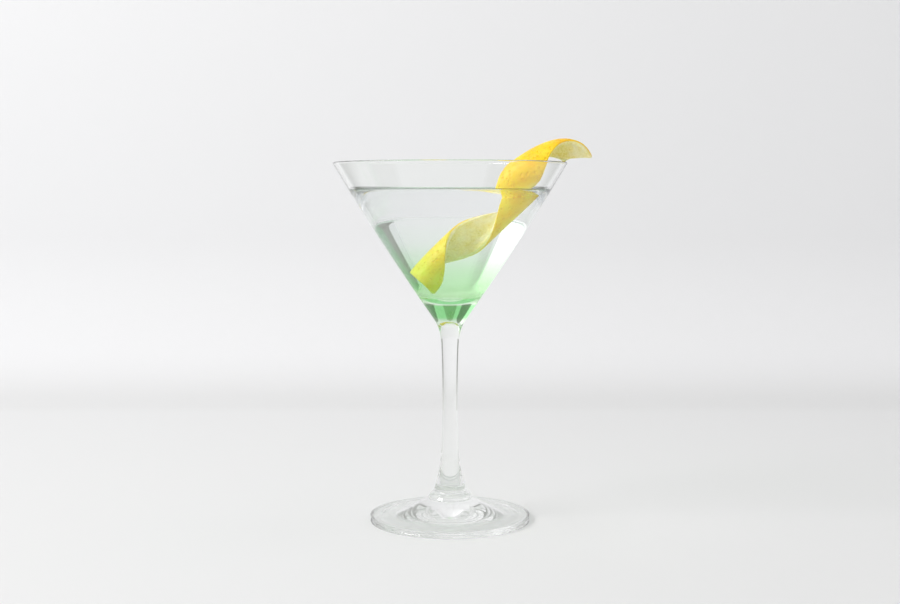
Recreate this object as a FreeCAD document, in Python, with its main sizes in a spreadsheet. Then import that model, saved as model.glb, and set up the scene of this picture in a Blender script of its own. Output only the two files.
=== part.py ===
import FreeCAD, Part
import math
import os

import Sketcher

# A clear cocktail in a stemmed glass with a flared bowl, and a lemon twist laid over the rim.
# Millimetres. The origin is the centre of the foot's underside, +Z is up, and the twist
# leaves the glass towards +X. The glass and the drink are turned shapes about Z.

SIZES = [
    # name, value, what it is
    ("glass_height", 170.0, "table to the top of the rim"),
    ("rim_radius", 55.0, "outside of the rim"),
    ("rim_wall", 1.1, "thickness of the rounded lip"),
    ("bowl_depth", 73.0, "rim to where the flared bowl leaves the stem"),
    ("bowl_base_radius", 8.2, "outside of the bowl there"),
    ("bowl_curve_radius", 1175.0, "the bowl's side is this slightly bowed"),
    ("tip_depth", 9.5, "solid glass between the bowl's base and the drink"),
    ("bowl_wall_low", 3.0, "wall of the bowl, carried on down to its base"),
    ("neck_drop", 13.0, "bowl's base to where the stem starts to swell"),
    ("neck_radius", 4.1, "stem there"),
    ("neck_curve_radius", 22.0, "hollow curve from the stem to the bowl"),
    ("stem_curve_radius", 750.0, "the stem's slight waist"),
    ("flare_top_height", 38.0, "where the stem starts to widen to the foot"),
    ("flare_top_radius", 3.9, "stem there"),
    ("flare_curve_radius", 76.0, "hollow curve of the widening"),
    ("flare_base_height", 13.7, "lower end of the widening"),
    ("flare_base_radius", 8.0, "stem there"),
    ("collar_height", 10.7, "edge of the low collar round the stem's end"),
    ("collar_radius", 10.5, "collar"),
    ("collar_curve_radius", 6.0, "its rounded shoulder"),
    ("foot_radius", 39.4, "outside of the foot"),
    ("foot_edge_radius", 1.4, "rounding of the foot's edge, half its thickness"),
    ("foot_curve_radius", 52.0, "hollow curve of the foot's upper side"),
    ("rest_width", 4.5, "flat ring that the foot stands on"),
    ("punt_depth", 3.2, "hollow under the foot"),
    ("level_below_rim", 12.7, "rim to the surface of the drink"),
    ("peel_width_low", 23.1, "strip of lemon peel, at its lower end"),
    ("peel_width_high", 16.2, "the same strip at its upper end"),
    ("peel_thickness", 2.2, "rind and pith together"),
    ("peel_coil_radius", 8.1, "outside of the coil that the strip makes"),
    ("peel_end_narrowing", 1.8, "how much tighter the coil is at both ends"),
    ("peel_bow", 5.0, "how far the strip's upper edge bows out in the middle"),
    ("peel_overhang", 7.1, "strip's last corner, past the upper end of the coil's line"),
    ("peel_low_left", 11.8, "coil's lower end, left of the glass's axis"),
    ("peel_low_front", 5.0, "the same, in front of the axis"),
    ("peel_low_rise", 6.4, "the same, above the bottom of the drink"),
    ("peel_high_front", 15.3, "coil's upper end, in front of the axis"),
    ("peel_over_rim", 1.9, "coil's upper end, outside the rim"),
    ("peel_above_rim", 2.2, "the same, above the rim before it is seated"),
    ("peel_bend_inset", 8.9, "crest of the coil's bend, inside the rim"),
    ("peel_bend_rise", 10.1, "the same, above the rim before it is seated"),
    ("seat_gap", 0.05, "left between the peel and what it rests on"),
]
SHEET = "sizes"

# The coil's centre line is a cubic curve. Its second control point lies at these shares
# of the way from the first to the third, across and up.
BEND_SHARE_ACROSS, BEND_SHARE_UP = 0.41, 0.583
# Turn angles in degrees, counted from the pointed lower corner of the strip, which lies
# this far round the coil from its upper side.
FIRST_TURN = 195.7
FRONT_TURN = 104.3  # here the middle of the strip passes the coil's lower end
LOW_CUT_TURN, HIGH_CUT_TURN, LAST_TURN = 214.0, 589.0, 683.0  # where the end cuts meet the edges
LOW_CUT_RISE, HIGH_CUT_FALL = 4.4, 10.8  # how far the cuts lean along the coil, in mm
LOW_CUT_BOW = 1.5  # and how far the lower one bows outwards
BOW_TURN, BOW_SPREAD = 370.0, 110.0  # where the upper edge bows out, and over how much
BLUNT_TURN = 9.0  # both pointed corners are blunted by this turn
STRIP_TURNS = 1.568  # turns of the coil between its lower end and the strip's last corner
TURN_STEP = 18.0  # between the cross-sections that the strip is lofted through
SEATED_WITHIN = 0.002  # mm
SEAT_ROUNDS = 60


class Size:
    """A length with its value and the sheet expression that gives it."""

    def __init__(self, value, text):
        self.value = value
        self.text = text

    def joined(self, sign, other, value):
        text = other.text if isinstance(other, Size) else str(other)
        return Size(value, f"({self.text} {sign} {text})")

    def __add__(self, other):
        return self.joined("+", other, self.value + number(other))

    def __sub__(self, other):
        return self.joined("-", other, self.value - number(other))

    def __mul__(self, other):
        return self.joined("*", other, self.value * number(other))


def number(size):
    return size.value if isinstance(size, Size) else float(size)


class Arc:
    """A round stretch of an outline. bulge is +1 if it bends to the left of its way, else -1."""

    def __init__(self, radius=None, bulge=1, centre_on_axis=False, tangent=False, aim=None):
        self.radius = radius
        self.bulge = bulge
        self.centre_on_axis = centre_on_axis
        self.tangent = tangent  # its far end runs smoothly into the next stretch
        self.aim = aim  # a place past its far end that it would come to if it went on


def arc_centre(start, end, radius, bulge):
    """Centre of the arc of this radius from start to end, both (r, z)."""
    across, up = end[0] - start[0], end[1] - start[1]
    chord = math.hypot(across, up)
    depth = math.sqrt(max(radius * radius - chord * chord / 4, 0.0))
    middle = ((start[0] + end[0]) / 2, (start[1] + end[1]) / 2)
    return (
        middle[0] + bulge * depth * up / chord,
        middle[1] - bulge * depth * across / chord,
    )


def axis_centre(start, end):
    """Centre on the glass's axis of the arc from start to end."""
    (r0, z0), (r1, z1) = start, end
    return 0.0, (r1 * r1 + z1 * z1 - r0 * r0 - z0 * z0) / (2 * (z1 - z0))


def make_sheet(doc):
    sheet = doc.addObject("Spreadsheet::Sheet", SHEET)
    size = {}
    for row, (name, value, what) in enumerate(SIZES, start=1):
        sheet.set(f"A{row}", what)
        sheet.set(f"B{row}", str(value))
        sheet.setAlias(f"B{row}", name)
        size[name] = Size(value, f"{SHEET}.{name}")
    doc.recompute()
    return size


def draw_outline(body, name, corners, edges):
    """A closed half outline in the body's XZ plane.

    corners holds (label, r, z, fixed): r and z are Sizes, or 0 on an axis, and fixed is False
    for a corner that a tangent finds. edges holds None for a straight stretch, or an Arc.
    """
    sketch = body.newObject("Sketcher::SketchObject", name)
    plane = next(f for f in body.Origin.OriginFeatures if f.Role == "XZ_Plane")
    sketch.AttachmentSupport = [(plane, "")]
    sketch.MapMode = "FlatFace"
    places = [(number(r), number(z)) for _, r, z, _ in corners]
    count = len(corners)
    first_end, last_end = [], []
    for i, edge in enumerate(edges):
        start, end = places[i], places[(i + 1) % count]
        if edge is None:
            sketch.addGeometry(Part.LineSegment(flat(start), flat(end)), False)
            first_end.append(1)
            last_end.append(2)
            continue
        if edge.radius is None:
            centre = axis_centre(start, end)
        else:
            centre = arc_centre(start, end, number(edge.radius), edge.bulge)
        turn = [math.atan2(p[1] - centre[1], p[0] - centre[0]) for p in (start, end)]
        forward = (turn[1] - turn[0]) % (2 * math.pi) < math.pi
        radius = math.dist(centre, start)
        circle = Part.Circle(flat(centre), FreeCAD.Vector(0, 0, 1), radius)
        ends = turn if forward else turn[::-1]
        sketch.addGeometry(Part.ArcOfCircle(circle, *ends), False)
        first_end.append(1 if forward else 2)
        last_end.append(2 if forward else 1)
    for i, edge in enumerate(edges):
        after = (i + 1) % count
        smooth = edge is not None and edge.tangent
        join = (i, last_end[i], after, first_end[after])
        sketch.addConstraint(Sketcher.Constraint("Tangent" if smooth else "Coincident", *join))
        if edge is not None and edge.centre_on_axis:
            sketch.addConstraint(Sketcher.Constraint("PointOnObject", i, 3, -2))
        if edge is not None and edge.radius is not None:
            bind(sketch, f"radius_{corners[i][0]}", edge.radius, "Radius", i)
        if edge is not None and edge.aim is not None:
            r, z = edge.aim
            mark = sketch.addGeometry(Part.Point(flat((number(r), number(z)))), True)
            sketch.addConstraint(Sketcher.Constraint("PointOnObject", mark, 1, i))
            bind(sketch, f"aim_across_{corners[i][0]}", r, "DistanceX", -1, 1, mark, 1)
            bind(sketch, f"aim_up_{corners[i][0]}", z, "DistanceY", -1, 1, mark, 1)
    for i, (label, r, z, fixed) in enumerate(corners):
        if not fixed:
            continue
        for kind, size, axis in (("DistanceX", r, -2), ("DistanceY", z, -1)):
            if isinstance(size, Size):
                bind(sketch, f"{kind}_{label}", size, kind, -1, 1, i, first_end[i])
            else:
                sketch.addConstraint(Sketcher.Constraint("PointOnObject", i, first_end[i], axis))
    return sketch


def flat(place):
    return FreeCAD.Vector(place[0], place[1], 0)


def bind(sketch, name, size, kind, *where):
    """A dimension of the sketch that follows the sheet."""
    index = sketch.addConstraint(Sketcher.Constraint(kind, *where, size.value))
    sketch.renameConstraint(index, name)
    sketch.setExpression(f"Constraints.{name}", size.text)


def turned_body(doc, name, corners, edges):
    """A body made by turning the outline once about the glass's axis."""
    body = doc.addObject("PartDesign::Body", name)
    sketch = draw_outline(body, f"{name}_outline", corners, edges)
    turn = body.newObject("PartDesign::Revolution", f"{name}_turned")
    turn.Profile = sketch
    turn.ReferenceAxis = (sketch, ["V_Axis"])
    turn.Angle = 360
    sketch.Visibility = False
    return body


class BowlInside:
    """The inner face of the bowl: a bowed side that runs smoothly into a rounded dish."""

    def __init__(self, size):
        base = size["glass_height"] - size["bowl_depth"]
        self.top = (
            size["rim_radius"] - size["rim_wall"],
            size["glass_height"] - size["rim_wall"] * 0.5,
        )
        self.aim = (size["bowl_base_radius"] - size["bowl_wall_low"], base)
        self.bottom = base + size["tip_depth"]
        self.side_radius = size["bowl_curve_radius"]
        side, bottom = number(self.side_radius), number(self.bottom)
        top, aim = ((number(r), number(z)) for r, z in (self.top, self.aim))
        self.side_centre = arc_centre(top, aim, side, 1)
        fall = self.side_centre[1] - bottom
        self.dish_radius = (side**2 - self.side_centre[0] ** 2 - fall**2) / (2 * (side - fall))
        self.dish_centre = (0.0, bottom + self.dish_radius)
        share = side / (side - self.dish_radius)
        self.meeting = tuple(
            c + (d - c) * share for c, d in zip(self.side_centre, self.dish_centre)
        )

    def height(self, radius):
        """Height of the inner face at a distance from the axis."""
        centre, curve = self.side_centre, number(self.side_radius)
        if radius < self.meeting[0]:
            centre, curve = self.dish_centre, self.dish_radius
        return centre[1] - math.sqrt(curve**2 - (radius - centre[0]) ** 2)

    def corners_and_edges(self):
        """From the inner side of the lip down to the bottom on the axis."""
        corners = [
            ("side_top", self.top[0], self.top[1], True),
            ("dish_edge", *self.meeting, False),
            ("dish_bottom", 0, self.bottom, True),
        ]
        edges = [
            Arc(self.side_radius, 1, tangent=True, aim=self.aim),
            Arc(None, 1, centre_on_axis=True),
        ]
        return corners, edges


def make_glass(doc, size, inside):
    """Foot, stem and bowl: one piece of blown glass."""
    edge = size["foot_edge_radius"]
    foot = size["foot_radius"]
    half_wall = size["rim_wall"] * 0.5
    lip = size["glass_height"] - half_wall
    base = size["glass_height"] - size["bowl_depth"]
    corners = [
        ("punt_top", 0, size["punt_depth"], True),
        ("rest_inside", foot - edge - size["rest_width"], 0, True),
        ("rest_outside", foot - edge, 0, True),
        ("foot_side", foot, edge, True),
        ("foot_edge_top", foot - edge, edge * 2, True),
        ("collar_edge", size["collar_radius"], size["collar_height"], True),
        ("flare_base", size["flare_base_radius"], size["flare_base_height"], True),
        ("flare_top", size["flare_top_radius"], size["flare_top_height"], True),
        ("neck", size["neck_radius"], base - size["neck_drop"], True),
        ("bowl_base", size["bowl_base_radius"], base, True),
        ("lip_outside", size["rim_radius"], lip, True),
        ("lip_top", size["rim_radius"] - half_wall, size["glass_height"], True),
    ]
    edges = [
        Arc(None, -1, centre_on_axis=True),
        None,
        Arc(edge, -1),
        Arc(edge, -1),
        Arc(size["foot_curve_radius"], 1),
        Arc(size["collar_curve_radius"], -1),
        Arc(size["flare_curve_radius"], 1),
        Arc(size["stem_curve_radius"], 1),
        Arc(size["neck_curve_radius"], 1),
        Arc(size["bowl_curve_radius"], -1),
        Arc(half_wall, -1),
        Arc(half_wall, -1),
    ]
    inside_corners, inside_edges = inside.corners_and_edges()
    return turned_body(
        doc, "cocktail_glass", corners + inside_corners, edges + inside_edges + [None]
    )


def make_drink(doc, size, inside, peel):
    """What fills the bowl up to its level, less the peel that stands in it."""
    corners, edges = inside.corners_and_edges()
    corners.append(("mouth", 0, inside.top[1], True))
    cavity = turned_body(doc, "bowl_cavity", corners, edges + [None, None])
    column = doc.addObject("Part::Cylinder", "up_to_the_level")
    column.setExpression("Radius", size["rim_radius"].text)
    column.setExpression("Height", (size["glass_height"] - size["level_below_rim"]).text)
    filled = doc.addObject("Part::Common", "filled")
    filled.Base = cavity
    filled.Tool = column
    drink = doc.addObject("Part::Cut", "drink")
    drink.Base = filled
    drink.Tool = peel
    return drink


class Coil:
    """The lemon strip's path: a helix about a centre line that leans over the rim."""

    def __init__(self, size, inside):
        self.s = {name: number(value) for name, value in size.items()}
        self.inside = inside
        self.low_lift, self.high_lift = 0.0, 0.0
        self.draw_line()

    def draw_line(self):
        """The centre line in the XZ plane, and how far along it the strip reaches."""
        s = self.s
        rim, top = s["rim_radius"], s["glass_height"] + self.high_lift
        bottom = number(self.inside.bottom) + self.low_lift
        low = (-s["peel_low_left"], bottom + s["peel_low_rise"])
        bend = (rim - s["peel_bend_inset"], top + s["peel_bend_rise"])
        high = (rim + s["peel_over_rim"], top + s["peel_above_rim"])
        start = (
            low[0] + BEND_SHARE_ACROSS * (bend[0] - low[0]),
            low[1] + BEND_SHARE_UP * (bend[1] - low[1]),
        )
        points = (low, start, bend, high)
        shares = [i / 200 for i in range(201)]
        self.line = [bezier(points, t) for t in shares]
        self.reach = [0.0]
        for p, q in zip(self.line, self.line[1:]):
            self.reach.append(self.reach[-1] + math.dist(p, q))
        self.length = self.reach[-1]
        self.strip_reach = self.length + s["peel_overhang"]
        self.pitch = self.strip_reach / STRIP_TURNS

    def centre(self, along):
        """Place and direction of the centre line, which runs on straight past its ends."""
        at = min(max(along, 0.0), self.length)
        i = next(k for k, reach in enumerate(self.reach[1:]) if reach >= at - 1e-9)
        p, q = self.line[i], self.line[i + 1]
        step = self.reach[i + 1] - self.reach[i]
        way = ((q[0] - p[0]) / step, (q[1] - p[1]) / step)
        rest = along - self.reach[i]
        return (p[0] + way[0] * rest, p[1] + way[1] * rest), way

    def point(self, along, turn, depth):
        """A point of the strip: how far along, how far round, and how deep under the rind."""
        s = self.s
        (x, z), (way_x, way_z) = self.centre(along)
        middle = LAST_TURN / 2
        radius = s["peel_coil_radius"] - s["peel_end_narrowing"] * ((turn - middle) / middle) ** 2
        angle = math.radians(FIRST_TURN - turn)
        out = (radius - depth) * math.cos(angle)
        front = (radius - depth) * math.sin(angle)
        share = along / self.length
        y = s["peel_low_front"] + (s["peel_high_front"] - s["peel_low_front"]) * share
        return FreeCAD.Vector(x - way_z * out, -y - front, z + way_x * out)

    def edges(self, turn):
        """How far along the coil the strip's two edges lie at a turn angle."""
        s = self.s
        share = turn / LAST_TURN
        width = s["peel_width_low"] + (s["peel_width_high"] - s["peel_width_low"]) * share
        lean = math.atan2(self.pitch, 2 * math.pi * s["peel_coil_radius"])
        half = width / math.cos(lean) / 2
        middle = self.pitch * (turn - FRONT_TURN) / 360
        cut_share = min(turn / LOW_CUT_TURN, 1.0)
        low_cut = LOW_CUT_RISE * cut_share - LOW_CUT_BOW * math.sin(math.pi * cut_share)
        past_corner = (turn - HIGH_CUT_TURN) / (LAST_TURN - HIGH_CUT_TURN)
        high_cut = self.strip_reach - HIGH_CUT_FALL * past_corner
        bow = s["peel_bow"] * math.exp(-(((turn - BOW_TURN) / BOW_SPREAD) ** 2))
        return max(middle - half, low_cut), min(middle + half + bow, high_cut)

    def turns(self):
        """Turn angles of the cross-sections, evenly spaced between the blunted corners."""
        first, last = BLUNT_TURN, LAST_TURN - BLUNT_TURN
        count = math.ceil((last - first) / TURN_STEP)
        return [first + (last - first) * i / count for i in range(count + 1)]

    def row(self, turn, depth, count=5):
        """Points across the strip, from its lower edge to its upper one."""
        low, high = self.edges(turn)
        shares = [i / (count - 1) for i in range(count)]
        return [self.point(low + (high - low) * share, turn, depth) for share in shares]

    def seat(self):
        """Lift the lower end clear of the bowl, and lift or lower the upper end onto the rim."""
        for _ in range(SEAT_ROUNDS):
            to_clear, to_rest = self.short_of_seat()
            if to_clear <= SEATED_WITHIN and abs(to_rest) <= SEATED_WITHIN:
                return
            self.low_lift += max(to_clear, 0.0)
            self.high_lift += to_rest
            self.draw_line()
        raise RuntimeError("the peel can't be seated on the rim at these sizes")

    def short_of_seat(self):
        """How far the strip has to rise to clear the bowl, and to rest on the rim."""
        s = self.s
        mouth = s["rim_radius"] - s["rim_wall"]
        to_clear, to_rest = [0.0], []
        for turn in self.turns():
            for depth in (0.0, s["peel_thickness"]):
                for p in self.row(turn, depth, count=25):
                    out = math.hypot(p.x, p.y)
                    if mouth <= out <= s["rim_radius"]:
                        to_rest.append(s["glass_height"] + s["seat_gap"] - p.z)
                    elif out + s["seat_gap"] < mouth:
                        to_clear.append(self.inside.height(out + s["seat_gap"]) - p.z)
        if not to_rest:
            raise RuntimeError("the peel doesn't reach over the rim at these sizes")
        return max(to_clear), max(to_rest)


def bezier(points, t):
    """Point of a cubic curve at a share t of its way."""
    shares = ((1 - t) ** 3, 3 * (1 - t) ** 2 * t, 3 * (1 - t) * t * t, t**3)
    return tuple(sum(w * p[k] for w, p in zip(shares, points)) for k in (0, 1))


def make_peel(doc, coil):
    """The strip of peel, lofted through its cross-sections from one pointed end to the other."""
    thickness = coil.s["peel_thickness"]
    sections, caps = [], []
    turns = coil.turns()
    for turn in turns:
        rind, pith = coil.row(turn, 0.0), coil.row(turn, thickness)
        sides = [through(rind), Part.makeLine(rind[-1], pith[-1])]
        sides += [through(pith[::-1]), Part.makeLine(pith[0], rind[0])]
        sections.append(Part.Wire(sides))
        if turn in (turns[0], turns[-1]):
            caps.append(Part.makeRuledSurface(through(rind), through(pith)))
    skin = Part.makeShell(Part.makeLoft(sections, False, False).Faces + caps)
    skin.sewShape()
    peel = doc.addObject("Part::Feature", "lemon_twist")
    peel.Shape = Part.makeSolid(skin)
    peel.Placement = FreeCAD.Placement()
    return peel


def through(points):
    """A smooth edge through points."""
    curve = Part.BSplineCurve()
    curve.interpolate(points)
    return curve.toShape()


def check(doc, nodes):
    """Stop on any object that failed, and on any shape that isn't one valid solid."""
    for item in doc.Objects:
        if {"Invalid", "Error"} & set(item.State):
            raise RuntimeError(f"{item.Name} failed: {item.State}")
    for node in nodes:
        shape = node.Shape
        if shape.isNull() or not shape.isValid() or len(shape.Solids) != 1:
            raise RuntimeError(f"{node.Name} isn't one valid solid")


def main():
    doc = FreeCAD.newDocument("cocktail")
    size = make_sheet(doc)
    inside = BowlInside(size)
    coil = Coil(size, inside)
    coil.seat()
    glass = make_glass(doc, size, inside)
    peel = make_peel(doc, coil)
    drink = make_drink(doc, size, inside, peel)
    doc.recompute()
    nodes = {"cocktail_glass": glass, "drink": drink, "lemon_twist": peel}
    check(doc, nodes.values())
    os.makedirs("parts", exist_ok=True)
    for name, node in nodes.items():
        node.Label = name
        node.Shape.exportStep(f"parts/{name}.step")
        box = node.Shape.optimalBoundingBox()
        print(
            f"{name}: {node.Shape.Volume / 1000:.1f} ml,"
            f" x {box.XMin:.1f} to {box.XMax:.1f}, y {box.YMin:.1f} to {box.YMax:.1f},"
            f" z {box.ZMin:.1f} to {box.ZMax:.1f}"
        )
    print(
        f"dish radius {inside.dish_radius:.2f}, coil line {coil.length:.1f} long,"
        f" its lower end lifted by {coil.low_lift:.2f} and its upper end by {coil.high_lift:.2f}"
    )


main()
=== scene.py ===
"""A clear cocktail, green at the bottom, in a stemmed glass with a coiled strip of lemon peel."""

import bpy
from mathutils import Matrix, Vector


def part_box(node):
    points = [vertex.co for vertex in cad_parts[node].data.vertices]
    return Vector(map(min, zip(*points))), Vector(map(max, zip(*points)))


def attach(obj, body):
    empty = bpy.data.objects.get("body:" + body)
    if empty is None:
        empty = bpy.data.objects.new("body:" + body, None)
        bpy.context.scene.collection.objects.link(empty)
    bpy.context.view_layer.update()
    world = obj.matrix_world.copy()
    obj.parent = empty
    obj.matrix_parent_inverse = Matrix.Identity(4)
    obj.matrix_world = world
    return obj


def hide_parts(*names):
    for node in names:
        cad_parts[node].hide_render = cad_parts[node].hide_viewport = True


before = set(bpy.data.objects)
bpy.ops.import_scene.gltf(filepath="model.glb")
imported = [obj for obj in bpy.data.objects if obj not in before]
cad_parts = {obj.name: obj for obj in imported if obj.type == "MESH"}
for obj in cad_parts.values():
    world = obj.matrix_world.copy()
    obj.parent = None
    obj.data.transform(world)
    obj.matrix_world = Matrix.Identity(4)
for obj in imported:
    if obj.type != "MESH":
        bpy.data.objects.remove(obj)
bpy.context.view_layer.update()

import math

import bpy
from mathutils import Vector, noise

bl_info = {
    "name": "Cocktail with a lemon twist",
    "version": (1, 0, 0),
    "blender": (4, 5, 0),
    "location": "View3D > Sidebar > Cocktail",
    "description": "Builds a stemmed glass, its drink and a coiled strip of lemon peel",
    "category": "Add Mesh",
}

MM = 0.001
MATH = "ShaderNodeMath"
MIX_A, MIX_B, MIX_COLOUR = 6, 7, 2  # the colour sockets of a Mix node
GLASS_NODE, DRINK_NODE, PEEL_NODE = "cocktail_glass", "drink", "lemon_twist"
GLASS_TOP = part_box(GLASS_NODE)[1]
RIM = GLASS_TOP.y / MM  # outside radius of the rim
HEIGHT = GLASS_TOP.z / MM

# The outlines are in millimetres, as (distance from the axis, height).
BOWL_CURVE = 1175.0  # radius of the slight bow of both its walls
BOWL_BASE = (8.2, HEIGHT - 73.0)  # where the outer wall begins, at the point of the bowl
BOWL_AIM = (BOWL_BASE[0] - 3.0, BOWL_BASE[1])  # the inner wall would run down to here
DRINK_BOTTOM = BOWL_BASE[1] + 9.5
LEVEL = HEIGHT - 12.7
RIM_WALL = 1.1
LIP = HEIGHT - RIM_WALL / 2  # height at which the lip's rounding begins
# The foot: its radius, its edge's rounding, the flat ring it stands on, the hollow's height.
FOOT, FOOT_EDGE, REST_WIDTH, PUNT = 39.4, 1.4, 4.5, 3.2
COLLAR, FLARE_BASE, FLARE_TOP = (10.5, 10.7), (8.0, 13.7), (3.9, 38.0)
NECK = (4.1, BOWL_BASE[1] - 13.0)
# Radii of the arcs from the foot's edge to the point of the bowl.
FOOT_RISE, COLLAR_HOLLOW, FLARE, WAIST, POINT_FLARE = 52.0, 6.0, 76.0, 750.0, 22.0


# ---------------------------------------------------------------- outlines


def between(start, end, share):
    """The point at this share of the way from start to end."""
    return tuple(a + (b - a) * share for a, b in zip(start, end))


def blended(weights, points):
    """The mean of some points, each with its weight."""
    return tuple(sum(w * p[k] for w, p in zip(weights, points)) for k in (0, 1))


def arc_centre(start, end, radius, bulge):
    """Centre of the arc of this radius from start to end, bending left of its way at +1."""
    across, up = end[0] - start[0], end[1] - start[1]
    chord = math.hypot(across, up)
    depth = math.sqrt(max(radius * radius - chord * chord / 4, 0.0))
    return (
        (start[0] + end[0]) / 2 + bulge * depth * up / chord,
        (start[1] + end[1]) / 2 - bulge * depth * across / chord,
    )


def arc_points(start, end, centre, longest, sharpest=math.radians(5)):
    """Points from start to end on the arc about centre, start left out."""
    turn = [math.atan2(p[1] - centre[1], p[0] - centre[0]) for p in (start, end)]
    sweep = (turn[1] - turn[0] + math.pi) % math.tau - math.pi
    radius = math.dist(start, centre)
    count = max(math.ceil(abs(sweep) * radius / longest), math.ceil(abs(sweep) / sharpest), 1)
    return [
        (
            centre[0] + radius * math.cos(turn[0] + sweep * i / count),
            centre[1] + radius * math.sin(turn[0] + sweep * i / count),
        )
        for i in range(1, count + 1)
    ]


def straight_points(start, end, longest):
    """Points from start to end on a straight line, start left out."""
    count = max(math.ceil(math.dist(start, end) / longest), 1)
    return [
        tuple(a + (b - a) * i / count for a, b in zip(start, end)) for i in range(1, count + 1)
    ]


def walked(points, reach):
    """The part of points that lies further than reach from the first, along the way."""
    left = reach
    for i, (a, b) in enumerate(zip(points, points[1:])):
        step = math.dist(a, b)
        if step > left:
            return [between(a, b, left / step)] + list(points[i + 1 :])
        left -= step
    raise ValueError("the stretch is shorter than its rounding")


def outline(first, stretches, steps=7):
    """Joins stretches of points, each corner rounded by the length given with its stretch."""
    runs, here = [], first
    for points, _ in stretches:
        runs.append([here] + points)
        here = points[-1]
    path = runs[0]
    for run, (_, ease) in zip(runs[1:], stretches[1:]):
        if not ease:
            path += run[1:]
            continue
        corner = run[0]
        path = walked(path[::-1], ease)[::-1]
        run = walked(run, ease)
        bend = (path[-1], corner, run[0])
        for i in range(1, steps):
            t = i / steps
            path.append(blended(((1 - t) ** 2, 2 * t * (1 - t), t * t), bend))
        path += run
    return path


def bowl_inside():
    """Centres of the bowl's inner side and rounded bottom, the bottom's radius, their meeting."""
    side = arc_centre((RIM - RIM_WALL, LIP), BOWL_AIM, BOWL_CURVE, 1)
    fall = side[1] - DRINK_BOTTOM
    dish_radius = (BOWL_CURVE**2 - side[0] ** 2 - fall**2) / (2 * (BOWL_CURVE - fall))
    dish = (0.0, DRINK_BOTTOM + dish_radius)
    meeting = between(side, dish, BOWL_CURVE / (BOWL_CURVE - dish_radius))
    return side, dish, dish_radius, meeting


def side_radius_at(height, grow):
    """Distance from the axis of the bowl's inner side, moved outwards by grow."""
    side = bowl_inside()[0]
    return side[0] + math.sqrt((BOWL_CURVE + grow) ** 2 - (height - side[1]) ** 2)


def glass_outline():
    """From the hollow under the foot, up the outside, over the lip and down the inside."""

    def arc(start, end, radius, bulge, longest):
        return arc_points(start, end, arc_centre(start, end, radius, bulge), longest)

    side, dish, _, meeting = bowl_inside()
    rest_in, rest_out = (FOOT - FOOT_EDGE - REST_WIDTH, 0.0), (FOOT - FOOT_EDGE, 0.0)
    hollow_centre = (0.0, (PUNT**2 - rest_in[0] ** 2) / (2 * PUNT))
    edge_centre = (rest_out[0], FOOT_EDGE)
    edge_top = (rest_out[0], 2 * FOOT_EDGE)
    lip_out, lip_in = (RIM, LIP), (RIM - RIM_WALL, LIP)
    lip_centre = (RIM - RIM_WALL / 2, LIP)
    lip_top = (lip_centre[0], HEIGHT)
    # Each stretch ends with its longest step, and with the rounding of the corner before it.
    return outline(
        (0.0, PUNT),
        [
            (arc_points((0.0, PUNT), rest_in, hollow_centre, 1.2), 0),
            (straight_points(rest_in, rest_out, 0.6), 1.2),
            (arc_points(rest_out, edge_top, edge_centre, 0.2), 0),
            (arc(edge_top, COLLAR, FOOT_RISE, 1, 0.5), 0),
            (arc(COLLAR, FLARE_BASE, COLLAR_HOLLOW, -1, 0.2), 0.5),
            (arc(FLARE_BASE, FLARE_TOP, FLARE, 1, 0.5), 0.5),
            (arc(FLARE_TOP, NECK, WAIST, 1, 0.8), 4.0),
            (arc(NECK, BOWL_BASE, POINT_FLARE, 1, 0.4), 4.0),
            (arc(BOWL_BASE, lip_out, BOWL_CURVE, -1, 0.9), 2.5),
            (arc_points(lip_out, lip_top, lip_centre, 0.07), 0.25),
            (arc_points(lip_top, lip_in, lip_centre, 0.07), 0),
            (arc_points(lip_in, meeting, side, 0.9), 0.25),
            (arc_points(meeting, (0.0, DRINK_BOTTOM), dish, 0.7), 0),
        ],
    )


def drink_outline(reach, climb, climb_width, edge_steps=28, surface_steps=24):
    """From the bottom up the wall, then over the raised edge to the middle of the surface."""
    side, dish, dish_radius, meeting = bowl_inside()
    bottom = (0.0, DRINK_BOTTOM - reach)
    turn = tuple(c + (m - c) * (dish_radius + reach) / dish_radius for c, m in zip(dish, meeting))
    top = (side_radius_at(LEVEL + climb, reach), LEVEL + climb)
    edge_width = 7 * climb_width  # past this the surface is as good as flat
    skin = []
    for i in range(1, edge_steps + 1):
        away = edge_width * (i / edge_steps) ** 2
        skin.append((top[0] - away, LEVEL + climb * math.exp(-away / climb_width)))
    last = skin[-1][0]
    skin += [(last * (1 - i / surface_steps), LEVEL) for i in range(1, surface_steps + 1)]
    return outline(
        bottom,
        [
            (arc_points(bottom, turn, dish, 0.7), 0),
            (arc_points(turn, top, side, 0.9), 0),
            (skin, 0),
        ],
    )


# ---------------------------------------------------------------- nodes


def linear(hex_colour):
    """Linear RGBA of an sRGB hex colour."""
    parts = [int(hex_colour[i : i + 2], 16) / 255 for i in (1, 3, 5)]
    return [c / 12.92 if c <= 0.04045 else ((c + 0.055) / 1.055) ** 2.4 for c in parts] + [1.0]


def set_stops(ramp, stops):
    """Sets a colour ramp from (place, sRGB hex) pairs, eased from each to the next."""
    ramp.interpolation = "EASE"
    while len(ramp.elements) < len(stops):
        ramp.elements.new(1.0)
    for element, (place, colour) in zip(ramp.elements, stops):
        element.position = place
        element.color = linear(colour)


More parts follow.
